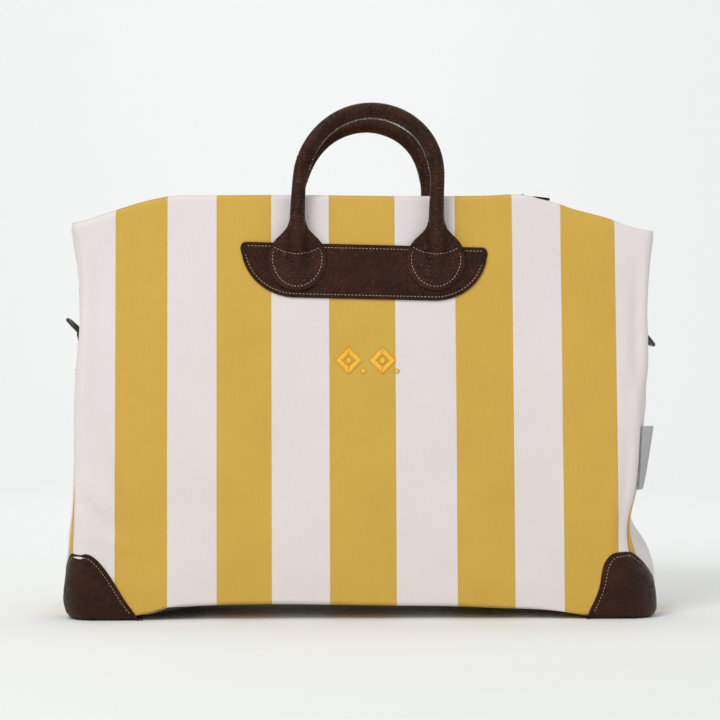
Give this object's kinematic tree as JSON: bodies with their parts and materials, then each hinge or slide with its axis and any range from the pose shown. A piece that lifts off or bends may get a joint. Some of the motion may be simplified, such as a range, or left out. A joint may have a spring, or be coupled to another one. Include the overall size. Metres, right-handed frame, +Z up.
{
  "type": "weekender bag",
  "caption": "Striped canvas weekender bag with leather corners, rolled leather handles, a zipped top and strap rings on its ends.",
  "frame": {"origin": "centre of the footprint, at the height of the leather corners' undersides", "axes": "+X along the bag's length to its right end, -Y out of its front, +Z up"},
  "size_m": [0.5778, 0.1932, 0.4888],
  "materials": {
    "striped_canvas": "heavy cotton canvas, mustard and off-white stripes",
    "brown_leather": "pebbled chocolate brown leather, soft sheen",
    "lining_cotton": "plain cotton lining",
    "zip_tape": "woven brown tape",
    "zip_coil": "brown nylon coil",
    "black_metal": "black enamelled metal",
    "handle_cord": "twisted cotton cord",
    "grey_label": "woven grey tape",
    "gold_thread": "glossy embroidery thread",
    "base_board": "plain stiff board"
  },
  "bodies": {
    "bag": {"front_panel": "striped_canvas", "back_panel": "striped_canvas", "left_gusset": "striped_canvas", "right_gusset": "striped_canvas", "base_panel": "striped_canvas", "top_end_left": "striped_canvas", "top_end_right": "striped_canvas", "zip_end_left": "zip_tape", "zip_end_right": "zip_tape", "zip_tab_left": "brown_leather", "zip_tab_right": "brown_leather", "corner_front_left": "brown_leather", "corner_front_right": "brown_leather", "corner_back_left": "brown_leather", "corner_back_right": "brown_leather", "handle_patch_front": "brown_leather", "handle_patch_back": "brown_leather", "handle_foot_front_left": "brown_leather", "handle_foot_front_right": "brown_leather", "handle_foot_back_left": "brown_leather", "handle_foot_back_right": "brown_leather", "ring_tab_left": "brown_leather", "ring_tab_right": "brown_leather", "side_label": "grey_label", "badge": "gold_thread", "lining_front": "lining_cotton", "lining_back": "lining_cotton", "lining_left": "lining_cotton", "lining_right": "lining_cotton", "lining_base": "lining_cotton", "base_board": "base_board", "slip_pocket": "lining_cotton"},
    "mouth_front": {"top_flap_front": "striped_canvas", "flap_facing_front": "lining_cotton", "zip_tape_front": "zip_tape", "zip_coil_front": "zip_coil"},
    "mouth_back": {"top_flap_back": "striped_canvas", "flap_facing_back": "lining_cotton", "zip_tape_back": "zip_tape", "zip_coil_back": "zip_coil"},
    "slider": {"zip_slider": "black_metal"},
    "pull": {"zip_pull": "black_metal", "pull_leather": "brown_leather"},
    "grip_front": {"handle_front": "brown_leather", "handle_core_front": "handle_cord"},
    "grip_back": {"handle_back": "brown_leather", "handle_core_back": "handle_cord"},
    "ring_left": {"d_ring_left": "black_metal"},
    "ring_right": {"d_ring_right": "black_metal"}
  },
  "joints": [
    {"name": "handle_front_fold", "type": "hinge", "parent": "bag", "child": "grip_front", "pos_m": [0, -0.07738, 0.36893], "axis": [1, 0, 0], "range_deg": [-5, 90]},
    {"name": "handle_back_fold", "type": "hinge", "parent": "bag", "child": "grip_back", "pos_m": [0, 0.07738, 0.36893], "axis": [-1, 0, 0], "range_deg": [-5, 90]},
    {"name": "zip_slide", "type": "slide", "parent": "bag", "child": "slider", "axis": [-1, 0, 0], "range_m": [0, 0.316]},
    {"name": "mouth_front_open", "type": "hinge", "parent": "bag", "child": "mouth_front", "pos_m": [0, -0.056, 0.402], "axis": [1, 0, 0], "range_deg": [0, 75]},
    {"name": "mouth_back_open", "type": "hinge", "parent": "bag", "child": "mouth_back", "pos_m": [0, 0.056, 0.402], "axis": [-1, 0, 0], "range_deg": [0, 75]},
    {"name": "zip_pull_flip", "type": "hinge", "parent": "slider", "child": "pull", "pos_m": [0.158, 0, 0.4054], "axis": [0, -1, 0], "range_deg": [0, 165]},
    {"name": "ring_left_swing", "type": "hinge", "parent": "bag", "child": "ring_left", "pos_m": [-0.27486, 0, 0.27165], "axis": [0, 1, 0], "range_deg": [-118, 32]},
    {"name": "ring_right_swing", "type": "hinge", "parent": "bag", "child": "ring_right", "pos_m": [0.27486, 0, 0.27165], "axis": [0, -1, 0], "range_deg": [-28, 122]}
  ],
  "couplings": [
    {"joint": "mouth_front_open", "follows": "zip_slide", "rad_per_m": 4.142},
    {"joint": "mouth_back_open", "follows": "zip_slide", "rad_per_m": 4.142}
  ]
}
